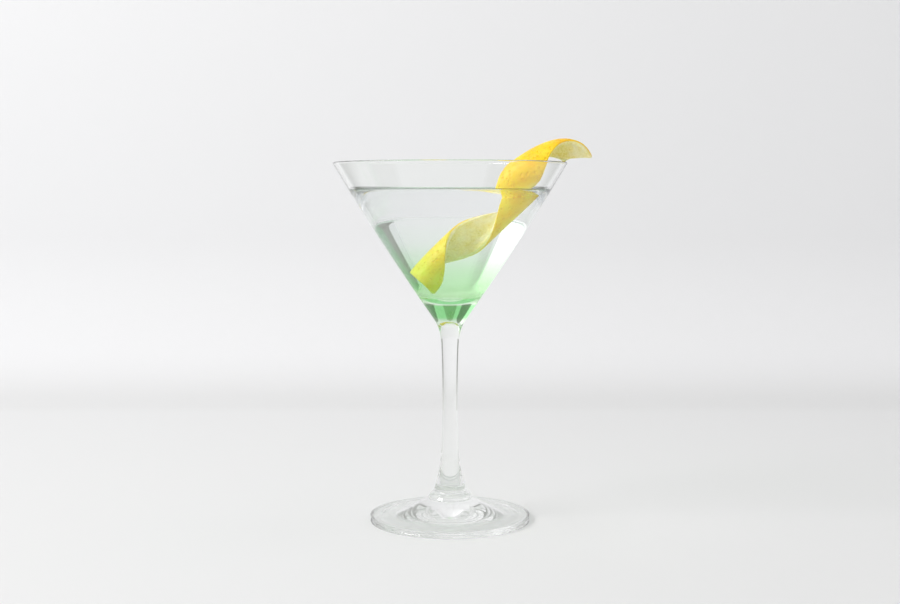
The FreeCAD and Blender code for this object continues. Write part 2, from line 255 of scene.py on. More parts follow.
def node(tree, kind, settings=None, numbered=None, **named):
    """Adds a node and gives its outputs.

    Settings are its own attributes, or the stops of its ramp. An input is named, or numbered
    where its name isn't its own, and takes a value or the socket that it is linked from.
    """
    made = tree.nodes.new(kind)
    for name, value in (settings or {}).items():
        if name == "stops":
            set_stops(made.color_ramp, value)
        else:
            setattr(made, name, value)
    inputs = {name.replace("_", " "): value for name, value in named.items()}
    inputs.update(numbered or {})
    for key, value in inputs.items():
        if isinstance(value, bpy.types.NodeSocket):
            tree.links.new(value, made.inputs[key])
        else:
            made.inputs[key].default_value = value
    return made.outputs


def share_of_way(tree, axis, low, high, **ends):
    """How far a point of the piece lies from low to high along an axis, from 0 to 1."""
    place = node(tree, "ShaderNodeTexCoord")["Object"]
    along = node(tree, "ShaderNodeSeparateXYZ", Vector=place)[axis]
    return node(
        tree, "ShaderNodeMapRange", Value=along, From_Min=low, From_Max=high, **ends
    )["Result"]


def new_material(name):
    """An empty node material and its tree."""
    material = bpy.data.materials.new(name)
    material.use_nodes = True
    material.node_tree.nodes.clear()
    return material, material.node_tree


def let_lamps_through(tree, shader, tint):
    """Clear stuff casts a faint shadow: lamps shine through it with this tint."""
    clear = node(tree, "ShaderNodeBsdfTransparent", Color=tint)["BSDF"]
    shadow = node(tree, "ShaderNodeLightPath")["Is Shadow Ray"]
    return node(tree, "ShaderNodeMixShader", None, {0: shadow, 1: shader, 2: clear})["Shader"]


# ---------------------------------------------------------------- materials

# The heights between which the glass's painted green at its point, and the shade that lamps cast
# through its foot, change, in mm.
TIP_FROM, TIP_TO = BOWL_BASE[1] - 4.0, BOWL_BASE[1] + 16.0
FOOT_TO = 12

# Sizes of the peel's patterns.
RIPE_PATCH, PITH_PATCH, FIBRE, GRAIN = 12 * MM, 7 * MM, 0.8 * MM, 0.5 * MM
GLAND_SEED = 5  # the colour and the dimples share it, so that they lie on each other


def blown_glass(settings):
    """Clear soda-lime glass, fire-polished: bright crisp reflections and thin dark edges.

    The thick point of the bowl is painted green: a painted refraction of the green drink that
    rests on it.
    """
    material, tree = new_material("fire_polished_soda_lime_glass")
    # Painted refraction: the point of the bowl is tinted green, as the drink would show through
    # it.
    painted_tip_stops = [
        (0.1, settings.tint),
        (0.24, settings.tip_painted_green),
        (0.5, settings.tip_painted_green),
        (0.57, settings.tint),
    ]
    height = share_of_way(tree, "Z", TIP_FROM * MM, TIP_TO * MM)
    tint = node(tree, "ShaderNodeValToRGB", {"stops": painted_tip_stops}, Fac=height)["Color"]
    shader = node(
        tree,
        "ShaderNodeBsdfPrincipled",
        Base_Color=tint,
        Roughness=0.0,
        IOR=settings.ior,
        Transmission_Weight=1.0,
    )["BSDF"]
    # The foot and the stem gather lamplight into lines, and so shade the table more.
    height = share_of_way(tree, "Z", FOOT_TO * MM, BOWL_BASE[1] * MM)
    lamp_stops = [(0.0, settings.foot_shade), (1.0, settings.tint)]
    shade = node(tree, "ShaderNodeValToRGB", {"stops": lamp_stops}, Fac=height)["Color"]
    surface = let_lamps_through(tree, shader, shade)
    node(tree, "ShaderNodeOutputMaterial", Surface=surface)
    return material


def clear_drink(settings):
    """Clear spirit with a green liqueur resting at the bottom, so its tint fades upwards, and
    painted shade along its edge on the wall.
    """
    material, tree = new_material("clear_spirit_over_green_liqueur")
    height = share_of_way(tree, "Z", DRINK_BOTTOM * MM, LEVEL * MM + settings.climb)
    stops = [
        (0.0, settings.settled_colour),
        (0.045, settings.bottom_colour),
        (0.26, settings.low_colour),
        (0.56, settings.middle_colour),
        (0.8, settings.top_colour),
        (0.992, settings.top_colour),
        # painted shade: where the surface climbs the wall it is tinted a darker green
        (1.0, settings.waterline_painted_shade),
    ]
    tint = node(tree, "ShaderNodeValToRGB", {"stops": stops}, Fac=height)["Color"]
    shader = node(
        tree,
        "ShaderNodeBsdfPrincipled",
        Base_Color=tint,
        Roughness=0.0,
        IOR=settings.ior,
        Transmission_Weight=1.0,
    )["BSDF"]
    surface = let_lamps_through(tree, shader, linear(settings.shadow_colour))
    node(tree, "ShaderNodeOutputMaterial", Surface=surface)
    return material


def lemon_peel(settings):
    """Fresh lemon peel: waxy dimpled rind outside, soft pale pith inside, cut with a knife."""
    material, tree = new_material("fresh_lemon_peel")
    place = node(tree, "ShaderNodeTexCoord")["Object"]

    # Ripeness: broad patches, about 12 mm across; by height, painted light on top of that.
    patches = node(
        tree, "ShaderNodeTexNoise", Vector=place, Scale=1 / RIPE_PATCH, Detail=2.0
    )["Fac"]
    # Painted light: paler and greener under the drink's level, for light the glass and drink hold
    # back; deeper above the rim, painted shade against the lamp.
    riper = share_of_way(
        tree, "Z", (LEVEL - 5.0) * MM, (HEIGHT + 6.0) * MM, To_Min=-0.14, To_Max=0.12
    )
    ripeness_and_painted_light = node(tree, MATH, {"operation": "ADD"}, {0: patches, 1: riper})["Value"]
    stops = [(0.3, settings.rind_green_and_lit), (0.5, settings.rind), (0.7, settings.rind_ripe_and_shaded)]
    ripe = node(tree, "ShaderNodeValToRGB", {"stops": stops}, Fac=ripeness_and_painted_light)["Color"]

    # Each oil gland, about 1.3 mm from the next, shows slightly deeper in colour.
    distance = node(
        tree,
        "ShaderNodeTexVoronoi",
        {"voronoi_dimensions": "4D"},
        Vector=place,
        W=GLAND_SEED,
        Scale=1 / settings.gland_spacing,
    )["Distance"]
    pore = node(
        tree,
        "ShaderNodeMapRange",
        {"interpolation_type": "SMOOTHSTEP"},
        Value=distance,
        From_Min=0.1,
        From_Max=0.5,
        To_Min=1.0,
        To_Max=0.0,
    )["Result"]
    fine = node(tree, "ShaderNodeTexNoise", Vector=place, Scale=1 / GRAIN, Detail=3.0)["Fac"]
    grain = node(tree, "ShaderNodeMapRange", Value=fine, From_Min=0.45, From_Max=0.75)["Result"]
    dots = node(tree, MATH, {"operation": "ADD"}, {0: pore, 1: grain})["Value"]
    speckle = node(tree, MATH, {"operation": "MINIMUM"}, {0: dots, 1: 1.0})["Value"]
    rind = node(
        tree,
        "ShaderNodeMix",
        {"data_type": "RGBA", "blend_type": "MULTIPLY"},
        {MIX_A: ripe, MIX_B: linear(settings.gland_colour)},
        Factor=speckle,
    )[MIX_COLOUR]

    # Pith: fibres about 0.8 mm apart, cream where it is thick.
    fibres = node(
        tree, "ShaderNodeTexNoise", Vector=place, Scale=1 / FIBRE, Detail=4.0, Roughness=0.6
    )["Fac"]
    stops = [(0.3, settings.pith_shade), (0.65, settings.pith)]
    cream = node(tree, "ShaderNodeValToRGB", {"stops": stops}, Fac=fibres)["Color"]
    # Broad patches, about 7 mm across, where the pith is thickest and nearly white.
    swelling = node(
        tree, "ShaderNodeTexNoise", Vector=place, Scale=1 / PITH_PATCH, Detail=2.0
    )["Fac"]
    thick = node(
        tree,
        "ShaderNodeMapRange",
        {"interpolation_type": "SMOOTHSTEP"},
        Value=swelling,
        From_Min=0.42,
        From_Max=0.66,
        To_Max=0.5,
    )["Result"]
    pith = node(
        tree,
        "ShaderNodeMix",
        {"data_type": "RGBA"},
        {MIX_A: cream, MIX_B: linear(settings.pith_pale)},
        Factor=thick,
    )[MIX_COLOUR]

    # The cut shows the rind as a thin skin over the pith.
    depth = node(tree, "ShaderNodeAttribute", {"attribute_name": "depth"})["Fac"]
    layer = node(
        tree,
        "ShaderNodeMapRange",
        {"interpolation_type": "SMOOTHSTEP"},
        Value=depth,
        From_Min=0.12,
        From_Max=0.42,
    )["Result"]
    colour = node(
        tree, "ShaderNodeMix", {"data_type": "RGBA"}, {MIX_A: rind, MIX_B: pith}, Factor=layer
    )[MIX_COLOUR]
    roughness = node(tree, "ShaderNodeMapRange", Value=layer, To_Min=0.3, To_Max=0.8)["Result"]
    # Waxy skin between the glands: fine grain 0.5 mm across, and a dip at each gland.
    uneven = node(tree, MATH, {"operation": "SUBTRACT"}, {0: fine, 1: pore})["Value"]
    bump = node(
        tree, "ShaderNodeBump", Height=uneven, Strength=0.55, Distance=0.3 * MM
    )["Normal"]
    shader = node(
        tree,
        "ShaderNodeBsdfPrincipled",
        Base_Color=colour,
        Roughness=roughness,
        Normal=bump,
        IOR=1.42,
        Subsurface_Weight=0.25,
        Subsurface_Radius=(1.0, 0.75, 0.3),
        Subsurface_Scale=1.2 * MM,
    )["BSDF"]
    node(tree, "ShaderNodeOutputMaterial", Surface=shader)
    return material


def seamless_paper(settings):
    """Matt white paper: floor and wall in one sweep, with painted shade where it curves up."""
    material, tree = new_material("matt_white_paper_sweep")
    back = share_of_way(tree, "Y", SWEEP_START - CREASE_LEAD, SWEEP_START + SWEEP_RADIUS)
    stops = [
        (0.15, settings.floor_colour),
        # painted shade where the paper curves up
        (0.45, settings.crease_painted_shade),
        (0.8, settings.wall_colour),
    ]
    tone = node(tree, "ShaderNodeValToRGB", {"stops": stops}, Fac=back)["Color"]
    paper = node(
        tree, "ShaderNodeBsdfPrincipled", Base_Color=tone, Roughness=0.9, Specular_IOR_Level=0.1
    )["BSDF"]
    # From behind, the paper lets the eye through to the glass.
    behind = node(tree, "ShaderNodeNewGeometry")["Backfacing"]
    clear = node(tree, "ShaderNodeBsdfTransparent")["BSDF"]
    surface = node(tree, "ShaderNodeMixShader", None, {0: behind, 1: paper, 2: clear})["Shader"]
    node(tree, "ShaderNodeOutputMaterial", Surface=surface)
    return material


# ---------------------------------------------------------------- mesh helpers


def mesh_object(name, points, edges, faces):
    """An object at the origin whose mesh holds points in metres."""
    mesh = bpy.data.meshes.new(name)
    mesh.from_pydata(points, edges, faces)
    mesh.update()
    mesh.polygons.foreach_set("use_smooth", [True] * len(mesh.polygons))
    made = bpy.data.objects.new(name, mesh)
    bpy.context.scene.collection.objects.link(made)
    return made


def applied(piece):
    """Turns the evaluated piece into a plain mesh with no modifier."""
    graph = bpy.context.evaluated_depsgraph_get()
    mesh = bpy.data.meshes.new_from_object(piece.evaluated_get(graph))
    mesh.name = piece.name
    piece.modifiers.clear()
    piece.data = mesh


def enclosed_volume(mesh):
    """Signed volume inside a closed mesh: positive when its faces point outwards."""
    mesh.calc_loop_triangles()
    total = 0.0
    for triangle in mesh.loop_triangles:
        a, b, c = (mesh.vertices[i].co for i in triangle.vertices)
        total += a.dot(b.cross(c))
    return total / 6


def open_edges(mesh):
    """How many edges don't have a face on each side."""
    uses = {}
    for polygon in mesh.polygons:
        for key in polygon.edge_keys:
            uses[key] = uses.get(key, 0) + 1
    return sum(1 for count in uses.values() if count != 2)


def checked_closed(piece):
    """Stops on a piece that is open or inside out."""
    gaps, volume = open_edges(piece.data), enclosed_volume(piece.data)
    if gaps or volume <= 0:
        raise RuntimeError(f"{piece.name} has {gaps} open edges and holds {volume * 1e6:.2f} ml")


def add_nodes(piece, tree, inputs):
    """Adds a Geometry Nodes modifier and sets its inputs by their identifiers."""
    modifier = piece.modifiers.new(tree.name, "NODES")
    modifier.node_group = tree
    for item in tree.interface.items_tree:
        if item.item_type == "SOCKET" and item.in_out == "INPUT" and item.name in inputs:
            modifier[item.identifier] = inputs[item.name]


def new_tree(name, sockets):
    """A Geometry Nodes tree with named inputs, and the outputs of its input node."""
    tree = bpy.data.node_groups.new(name, "GeometryNodeTree")
    tree.interface.new_socket("Geometry", in_out="OUTPUT", socket_type="NodeSocketGeometry")
    tree.interface.new_socket("Geometry", in_out="INPUT", socket_type="NodeSocketGeometry")
    for label, kind, default in sockets:
        socket = tree.interface.new_socket(label, in_out="INPUT", socket_type=kind)
        if default is not None:
            socket.default_value = default
    return tree, node(tree, "NodeGroupInput")


def closed_tree(tree, geometry, material):
    """Ends a tree in Realize Instances and Set Material."""
    real = node(tree, "GeometryNodeRealizeInstances", Geometry=geometry)["Geometry"]
    dressed = node(tree, "GeometryNodeSetMaterial", Geometry=real, Material=material)["Geometry"]
    node(tree, "NodeGroupOutput", Geometry=dressed)
    return tree


def turning_tree():
    """Turns an outline in the XZ plane once about Z, and closes it on the axis."""
    tree, given = new_tree(
        "turned about the axis",
        [
            ("Steps round", "NodeSocketInt", 192),
            ("Merge distance", "NodeSocketFloat", 0.001 * MM),
            ("Material", "NodeSocketMaterial", None),
        ],
    )
    # A grid with one column of points for each point of the outline, and a row for each step.
    add, times = {"operation": "ADD"}, {"operation": "MULTIPLY"}
    divide, minus = {"operation": "DIVIDE"}, {"operation": "SUBTRACT"}
    columns = node(
        tree,
        "GeometryNodeAttributeDomainSize",
        {"component": "MESH"},
        Geometry=given["Geometry"],
    )["Point Count"]
    rows = node(tree, MATH, add, {0: given["Steps round"], 1: 1})["Value"]
    grid = node(tree, "GeometryNodeMeshGrid", Vertices_X=columns, Vertices_Y=rows)["Mesh"]
    index = node(tree, "GeometryNodeInputIndex")["Index"]
    middle = node(tree, MATH, add, {0: index, 1: 0.5})["Value"]
    share = node(tree, MATH, divide, {0: middle, 1: rows})["Value"]
    column = node(tree, MATH, {"operation": "FLOOR"}, {0: share})["Value"]
    passed = node(tree, MATH, times, {0: column, 1: rows})["Value"]
    row = node(tree, MATH, minus, {0: index, 1: passed})["Value"]

    # Each grid point goes to its outline point, turned by its row's angle.
    place = node(tree, "GeometryNodeInputPosition")["Position"]
    outline_point = node(
        tree,
        "GeometryNodeSampleIndex",
        {"data_type": "FLOAT_VECTOR", "domain": "POINT"},
        Geometry=given["Geometry"],
        Value=place,
        Index=column,
    )["Value"]
    axes = node(tree, "ShaderNodeSeparateXYZ", Vector=outline_point)
    turns = node(tree, MATH, divide, {0: row, 1: given["Steps round"]})["Value"]
    angle = node(tree, MATH, times, {0: turns, 1: math.tau})["Value"]
    cosine = node(tree, MATH, {"operation": "COSINE"}, {0: angle})["Value"]
    sine = node(tree, MATH, {"operation": "SINE"}, {0: angle})["Value"]
    turned = node(
        tree,
        "ShaderNodeCombineXYZ",
        X=node(tree, MATH, times, {0: axes["X"], 1: cosine})["Value"],
        Y=node(tree, MATH, times, {0: axes["X"], 1: sine})["Value"],
        Z=axes["Z"],
    )["Vector"]
    placed = node(tree, "GeometryNodeSetPosition", Geometry=grid, Position=turned)["Geometry"]
    joined = node(
        tree,
        "GeometryNodeMergeByDistance",
        Geometry=placed,
        Distance=given["Merge distance"],
    )["Geometry"]
    flipped = node(tree, "GeometryNodeFlipFaces", Mesh=joined)["Mesh"]
    smooth = node(tree, "GeometryNodeSetShadeSmooth", Geometry=flipped)["Geometry"]
    return closed_tree(tree, smooth, given["Material"])


def turned_piece(name, points, material, steps_round):
    """A closed turned piece with its faces pointing outwards."""
    tree = bpy.data.node_groups.get("turned about the axis") or turning_tree()
    edges = [(i, i + 1) for i in range(len(points) - 1)]
    piece = mesh_object(name, [(r * MM, 0.0, z * MM) for r, z in points], edges, [])
    add_nodes(piece, tree, {"Steps round": steps_round, "Material": material})
    applied(piece)
    checked_closed(piece)
    return piece


# ---------------------------------------------------------------- the lemon peel

# The coil's radius, how much narrower its ends are, how far the strip runs past the end of
# the centre line, and its turns.
COIL_RADIUS, END_NARROWING, OVERHANG, STRIP_TURNS = 8.1, 1.8, 7.1, 1.568
BOW, BOW_TURN, BOW_SPREAD = 5.0, 370.0, 110.0  # how far and where the upper edge bows out
PEEL_THICKNESS = 2.2
WIDTH_LOW, WIDTH_HIGH = 23.1, 16.2
FRONT_LOW, FRONT_HIGH = 5.0, 15.3  # how far the coil lies in front of the glass's axis
# The coil's centre line is one curve from its low to its high end, drawn towards the other two.
COIL_LOW = (-11.8, DRINK_BOTTOM + 6.7)
COIL_BEND = (RIM - 8.95, HEIGHT + 9.75)
COIL_HIGH = (RIM + 1.8, HEIGHT + 1.85)
COIL_START = tuple(
    low + share * (bend - low) for low, bend, share in zip(COIL_LOW, COIL_BEND, (0.41, 0.583))
)
LINE_STEPS = 400
# Degrees round the coil, counted from the strip's pointed lower corner.
FIRST_TURN, FRONT_TURN, BLUNT_TURN = 195.7, 104.3, 9.0
LOW_CUT_TURN, HIGH_CUT_TURN, LAST_TURN = 214.0, 589.0, 683.0
LOW_CUT_RISE, LOW_CUT_BOW, HIGH_CUT_FALL = 4.4, 1.5, 10.8  # how the two cut ends slant
WAVER_TURN, LOW_SEED, HIGH_SEED = 24, 3.1, 7.7  # degrees in which a cut wavers, and its seeds
EDGE_TUCK = 0.45  # how far the edges are rounded
PITH_TURN, PITH_LENGTH, PITH_SEED = 17, 4.5, 1.7  # size of the pith's lumps in degrees and mm
PITH_LUMP, PITH_SINK = 0.35, 0.2  # their height, and how deep they are set, so none stands out
ACROSS_STEPS, TURN_STEPS, DEPTH_STEPS = 84, 400, 5


class Coil:
    """The path of the strip: a helix about a centre line that leans over the rim."""

    def __init__(self):
        points = (COIL_LOW, COIL_START, COIL_BEND, COIL_HIGH)
        self.line = []
        for i in range(LINE_STEPS + 1):
            t = i / LINE_STEPS
            weights = ((1 - t) ** 3, 3 * t * (1 - t) ** 2, 3 * t * t * (1 - t), t**3)
            self.line.append(blended(weights, points))
        self.reach = [0.0]
        for p, q in zip(self.line, self.line[1:]):
            self.reach.append(self.reach[-1] + math.dist(p, q))
        self.length = self.reach[-1]
        self.strip_reach = self.length + OVERHANG
        self.pitch = self.strip_reach / STRIP_TURNS

    def centre(self, along):
        """Place and direction of the centre line, which runs on straight past its ends."""
        at = min(max(along, 0.0), self.length)
        low, high = 0, len(self.line) - 1
        while high - low > 1:
            middle = (low + high) // 2
            low, high = (middle, high) if self.reach[middle] <= at else (low, middle)
        p, q = self.line[low], self.line[low + 1]
        step = self.reach[low + 1] - self.reach[low]
        way = ((q[0] - p[0]) / step, (q[1] - p[1]) / step)
        rest = along - self.reach[low]
        return (p[0] + way[0] * rest, p[1] + way[1] * rest), way

    def point(self, along, turn, depth):
        """A point of the strip: how far along, how far round, and how deep under the rind."""
        (x, z), (way_x, way_z) = self.centre(along)
        middle = LAST_TURN / 2
        radius = COIL_RADIUS - END_NARROWING * ((turn - middle) / middle) ** 2
        angle = math.radians(FIRST_TURN - turn)
        out = (radius - depth) * math.cos(angle)
        front = (radius - depth) * math.sin(angle)
        y = FRONT_LOW + (FRONT_HIGH - FRONT_LOW) * along / self.length
        return Vector((x - way_z * out, -y - front, z + way_x * out)) * MM

    def edges(self, turn):
        """How far along the coil the strip's two edges lie at a turn angle."""
        width = WIDTH_LOW + (WIDTH_HIGH - WIDTH_LOW) * turn / LAST_TURN
        lean = math.atan2(self.pitch, math.tau * COIL_RADIUS)
        half = width / math.cos(lean) / 2
        middle = self.pitch * (turn - FRONT_TURN) / 360
        share = min(turn / LOW_CUT_TURN, 1.0)
        low_cut = LOW_CUT_RISE * share - LOW_CUT_BOW * math.sin(math.pi * share)
        past = (turn - HIGH_CUT_TURN) / (LAST_TURN - HIGH_CUT_TURN)
        high_cut = self.strip_reach - HIGH_CUT_FALL * past
        bow = BOW * math.exp(-(((turn - BOW_TURN) / BOW_SPREAD) ** 2))
        return max(middle - half, low_cut), min(middle + half + bow, high_cut)


def eased_share(step, steps):
    """Evenly spaced shares, drawn closer together at both ends."""
    share = step / steps
    return share - 0.6 * math.sin(math.tau * share) / math.tau


def knife_waver(turn, seed):
    """How far the knife's cut wavers at a turn angle, from 0 to 1."""
    return 0.5 + 0.5 * noise.noise((turn / WAVER_TURN, seed, 0.0))


def strip_lattice(coil, waver):
    """Points and faces of the closed strip, with how deep under the rind each point lies."""
    first, last = BLUNT_TURN, LAST_TURN - BLUNT_TURN
    points, faces, depths, found = [], [], [], {}

    def corner(i, j, k):
        key = (i, j, k)
        if key not in found:
            turn = first + (last - first) * i / TURN_STEPS
            low, high = coil.edges(turn)
            # The knife's cut wavers a little, always inwards.
            low += waver * knife_waver(turn, LOW_SEED)
            high -= waver * knife_waver(turn, HIGH_SEED)
            into = k / DEPTH_STEPS
            # Edges are rounded: the outer layers end slightly short of the middle ones.
            tuck = EDGE_TUCK * (abs(2 * into - 1) ** 3)
            span = max(high - low - 2 * tuck, 0.1)
            along = low + tuck + span * eased_share(j, ACROSS_STEPS)
            depth = PEEL_THICKNESS * into
            if k == DEPTH_STEPS:
                lumps = noise.noise((turn / PITH_TURN, along / PITH_LENGTH, PITH_SEED))
                depth += min(PITH_LUMP * lumps - PITH_SINK, 0.0)
            found[key] = len(points)
            points.append(coil.point(along, turn, depth))
            depths.append(into)
        return found[key]

    def face(order, *corners):
        faces.append([corner(*c) for c in corners[::order]])

    for i in range(TURN_STEPS):
        for j in range(ACROSS_STEPS):
            for k, order in ((0, -1), (DEPTH_STEPS, 1)):
                face(order, (i, j, k), (i + 1, j, k), (i + 1, j + 1, k), (i, j + 1, k))
        for k in range(DEPTH_STEPS):
            for j, order in ((0, 1), (ACROSS_STEPS, -1)):
                face(order, (i, j, k), (i + 1, j, k), (i + 1, j, k + 1), (i, j, k + 1))
    for j in range(ACROSS_STEPS):
        for k in range(DEPTH_STEPS):
            for i, order in ((0, -1), (TURN_STEPS, 1)):
                face(order, (i, j, k), (i, j + 1, k), (i, j + 1, k + 1), (i, j, k + 1))
    return points, faces, depths


def dimpling_tree():
    """Sinks the mouths of the rind's oil glands into its surface."""
    tree, given = new_tree(
        "oil glands of the rind",
        [
            ("Gland spacing", "NodeSocketFloat", 1.3 * MM),
            ("Gland depth", "NodeSocketFloat", 0.28 * MM),
            ("Seed", "NodeSocketInt", GLAND_SEED),
            ("Material", "NodeSocketMaterial", None),
        ],
    )
    times = {"operation": "MULTIPLY"}
    place = node(tree, "GeometryNodeInputPosition")["Position"]
    normal = node(tree, "GeometryNodeInputNormal")["Normal"]
    depth = node(
        tree, "GeometryNodeInputNamedAttribute", {"data_type": "FLOAT"}, Name="depth"
    )["Attribute"]
    scale = node(tree, MATH, {"operation": "DIVIDE"}, {0: 1.0, 1: given["Gland spacing"]})
    distance = node(
        tree,
        "ShaderNodeTexVoronoi",
        {"voronoi_dimensions": "4D"},
        Vector=place,
        W=given["Seed"],
        Scale=scale["Value"],
    )["Distance"]
    mouth = node(
        tree,
        "ShaderNodeMapRange",
        {"interpolation_type": "SMOOTHSTEP"},
        Value=distance,
        From_Min=0.15,
        From_Max=0.5,
        To_Min=1.0,
        To_Max=0.0,
    )["Result"]
    on_rind = node(
        tree, "ShaderNodeMapRange", Value=depth, From_Max=0.1, To_Min=1.0, To_Max=0.0
    )["Result"]
    pore = node(tree, MATH, times, {0: mouth, 1: on_rind})["Value"]
    sunk = node(tree, MATH, times, {0: pore, 1: given["Gland depth"]})["Value"]
    inwards = node(tree, MATH, times, {0: sunk, 1: -1.0})["Value"]
    shift = node(
        tree, "ShaderNodeVectorMath", {"operation": "SCALE"}, {0: normal}, Scale=inwards
    )["Vector"]
    moved = node(
        tree, "GeometryNodeSetPosition", Geometry=given["Geometry"], Offset=shift
    )["Geometry"]
    return closed_tree(tree, moved, given["Material"])


# ---------------------------------------------------------------- the stage

# In metres, with angles in degrees.
SWEEP_START, SWEEP_RADIUS, SWEEP_STEPS = 0.33, 0.12, 24  # where and how the paper curves up
SWEEP_FRONT, SWEEP_TOP, SWEEP_HALF_WIDTH = -7.0, 1.5, 7.0
CREASE_LEAD = 0.05  # how far in front of the curve the paper's painted shade begins
FLOOR = -0.05 * MM  # just under the glass, so that the two don't share a plane
EYE, EYE_DIP = (0.0, -0.6282, 0.155), 4.615
LENS, SENSOR = 53.26, 36.0
LAMP_PLACE, LAMP_AIM = (-1.05, -0.5, 1.05), (0, 0, 1.05)
LAMP_SIZE, LAMP_POWER = (0.7, 0.85), 13.5
WORLD_LIGHT = 0.77
WINDOW_GLOW = 1.6
CARD_FOOT, CARD_STEPS = 0.05, 12  # height in which a card's foot fades into its tone


def sweep_points():
    """Floor, curve and wall, as (y, z) from front to back."""
    profile = [(SWEEP_FRONT, FLOOR), (SWEEP_START, FLOOR)]
    for i in range(1, SWEEP_STEPS + 1):
        angle = math.pi / 2 * i / SWEEP_STEPS
        profile.append(
            (
                SWEEP_START + SWEEP_RADIUS * math.sin(angle),
                FLOOR + SWEEP_RADIUS * (1 - math.cos(angle)),
            )
        )
    profile.append((SWEEP_START + SWEEP_RADIUS, SWEEP_TOP))
    return profile


def paper_sweep(settings):
    """The floor and the wall, as one curved sheet of paper."""
    profile = sweep_points()
    count = len(profile)
    points = [(x, y, z) for x in (-SWEEP_HALF_WIDTH, SWEEP_HALF_WIDTH) for y, z in profile]
    faces = [(i, i + count, i + count + 1, i + 1) for i in range(count - 1)]
    sweep = mesh_object("paper_sweep", points, [], faces)
    sweep.data.materials.append(seamless_paper(settings))


def studio_card(name, radii, sides, heights, tone, strength=1.0, foot_tone=None):
    """A card curved round the glass, from side to side in degrees from the back.

    Its lower edge and its upper edge each have a radius and a height. Only glass sees it, as
    the bright and dark lines that draw its edges.
    """
    material, tree = new_material(name)
    rise = share_of_way(tree, "Z", heights[0], heights[0] + CARD_FOOT)
    stops = [(0.0, foot_tone or tone), (1.0, tone)]
    colour = node(tree, "ShaderNodeValToRGB", {"stops": stops}, Fac=rise)["Color"]
    glow = node(tree, "ShaderNodeEmission", Color=colour, Strength=strength)["Emission"]
    node(tree, "ShaderNodeOutputMaterial", Surface=glow)
    material.cycles.emission_sampling = "NONE"
    points = []
    for i in range(CARD_STEPS + 1):
        angle = math.radians(sides[0] + (sides[1] - sides[0]) * i / CARD_STEPS)
        points += [(r * math.sin(angle), r * math.cos(angle), z) for r, z in zip(radii, heights)]
    faces = [(2 * i, 2 * i + 1, 2 * i + 3, 2 * i + 2) for i in range(CARD_STEPS)]
    card = mesh_object(name, points, [], faces)
    card.data.materials.append(material)
    card.visible_camera = card.visible_diffuse = card.visible_shadow = False


def studio_cards(settings):
    """The window and the dark sides of a room, as glass would show them."""
    window = {"tone": settings.window_colour, "strength": WINDOW_GLOW * settings.light_level}
    dark = {"tone": settings.card_colour}
    above = {"tone": settings.high_card_colour}
    green, pale_green = {"tone": settings.green_colour}, {"tone": settings.pale_green_colour}
    low = {"tone": settings.low_card_colour, "foot_tone": settings.card_foot_colour}
    # The sides are in degrees from the back, the rest is in metres.
    for name, radii, sides, heights, look in (
        ("window_card", (0.42, 0.42), (-103, -40), (0.28, 0.66), window),
        ("card_over_window", (0.7, 0.7), (-118, -64), (1.05, 1.85), dark),
        ("card_overhead", (0.42, 0.0), (-180, 180), (1.6, 1.6), above),
        ("card_right", (0.7, 0.7), (60, 95), (0.78, 1.4), dark),
        ("card_right_middle", (0.7, 0.7), (60, 93), (0.62, 0.78), green),
        ("card_right_below", (0.7, 0.7), (50, 93), (0.45, 0.62), pale_green),
        ("card_low_right", (0.3, 0.3), (44, 62), (0.0, 0.09), low),
        ("card_mid_right", (0.3, 0.3), (62, 125), (0.0, 0.15), low),
        ("card_low_left", (0.3, 0.3), (-125, -44), (0.0, 0.09), low),
    ):
        studio_card(name, radii, sides, heights, **look)


def window_lamp(light_level):
    """A soft light at the left, as from a window. Glass shows the window's card instead."""
    light = bpy.data.lights.new("window_left", "AREA")
    light.shape = "RECTANGLE"
    light.size, light.size_y = LAMP_SIZE
    light.energy = LAMP_POWER * light_level
    lamp = bpy.data.objects.new("window_left", light)
    bpy.context.scene.collection.objects.link(lamp)
    lamp.location = LAMP_PLACE
    way = Vector(LAMP_AIM) - Vector(LAMP_PLACE)
    lamp.rotation_euler = way.to_track_quat("-Z", "Y").to_euler()
    lamp.visible_transmission = False


def pale_room(scene, wall_colour):
    """An even white light from all round, which the eye and glass see in the wall's tone."""
    scene.world = bpy.data.worlds.new("pale_room")
    scene.world.use_nodes = True
    tree = scene.world.node_tree
    tree.nodes.clear()
    lit = node(tree, "ShaderNodeBackground", Color=linear("#FFFFFF"), Strength=WORLD_LIGHT)
    seen = node(tree, "ShaderNodeBackground", Color=linear(wall_colour), Strength=1.0)
    path = node(tree, "ShaderNodeLightPath")
    either = {"operation": "MAXIMUM"}
    through = node(
        tree, MATH, either, {0: path["Is Glossy Ray"], 1: path["Is Transmission Ray"]}
    )["Value"]
    looks = node(tree, MATH, either, {0: path["Is Camera Ray"], 1: through})["Value"]
    surface = node(
        tree,
        "ShaderNodeMixShader",
        None,
        {0: looks, 1: lit["Background"], 2: seen["Background"]},
    )["Shader"]
    node(tree, "ShaderNodeOutputWorld", Surface=surface)


def front_camera(scene):
    """The camera, in front of the glass at the height of the bowl and dipped a little."""
    lens = bpy.data.cameras.new("camera")
    lens.lens = LENS
    lens.sensor_width = SENSOR
    lens.clip_start = 0.01
    camera = bpy.data.objects.new("camera", lens)
    camera.location = EYE
    camera.rotation_euler = (math.pi / 2 - math.radians(EYE_DIP), 0.0, 0.0)
    scene.collection.objects.link(camera)
    scene.camera = camera


# ---------------------------------------------------------------- settings


def colour_text(name, default, what):
    """A setting that holds a colour as sRGB hex text."""
    return bpy.props.StringProperty(name=name, description=what, default=default)


def length(name, default, what):
    """A setting that holds a length in metres."""
    return bpy.props.FloatProperty(name=name, description=what, default=default, unit="LENGTH")


def bending(default, what):
    """A setting that holds an index of refraction."""
    return bpy.props.FloatProperty(name="IOR", description=what, default=default, min=1, max=2)


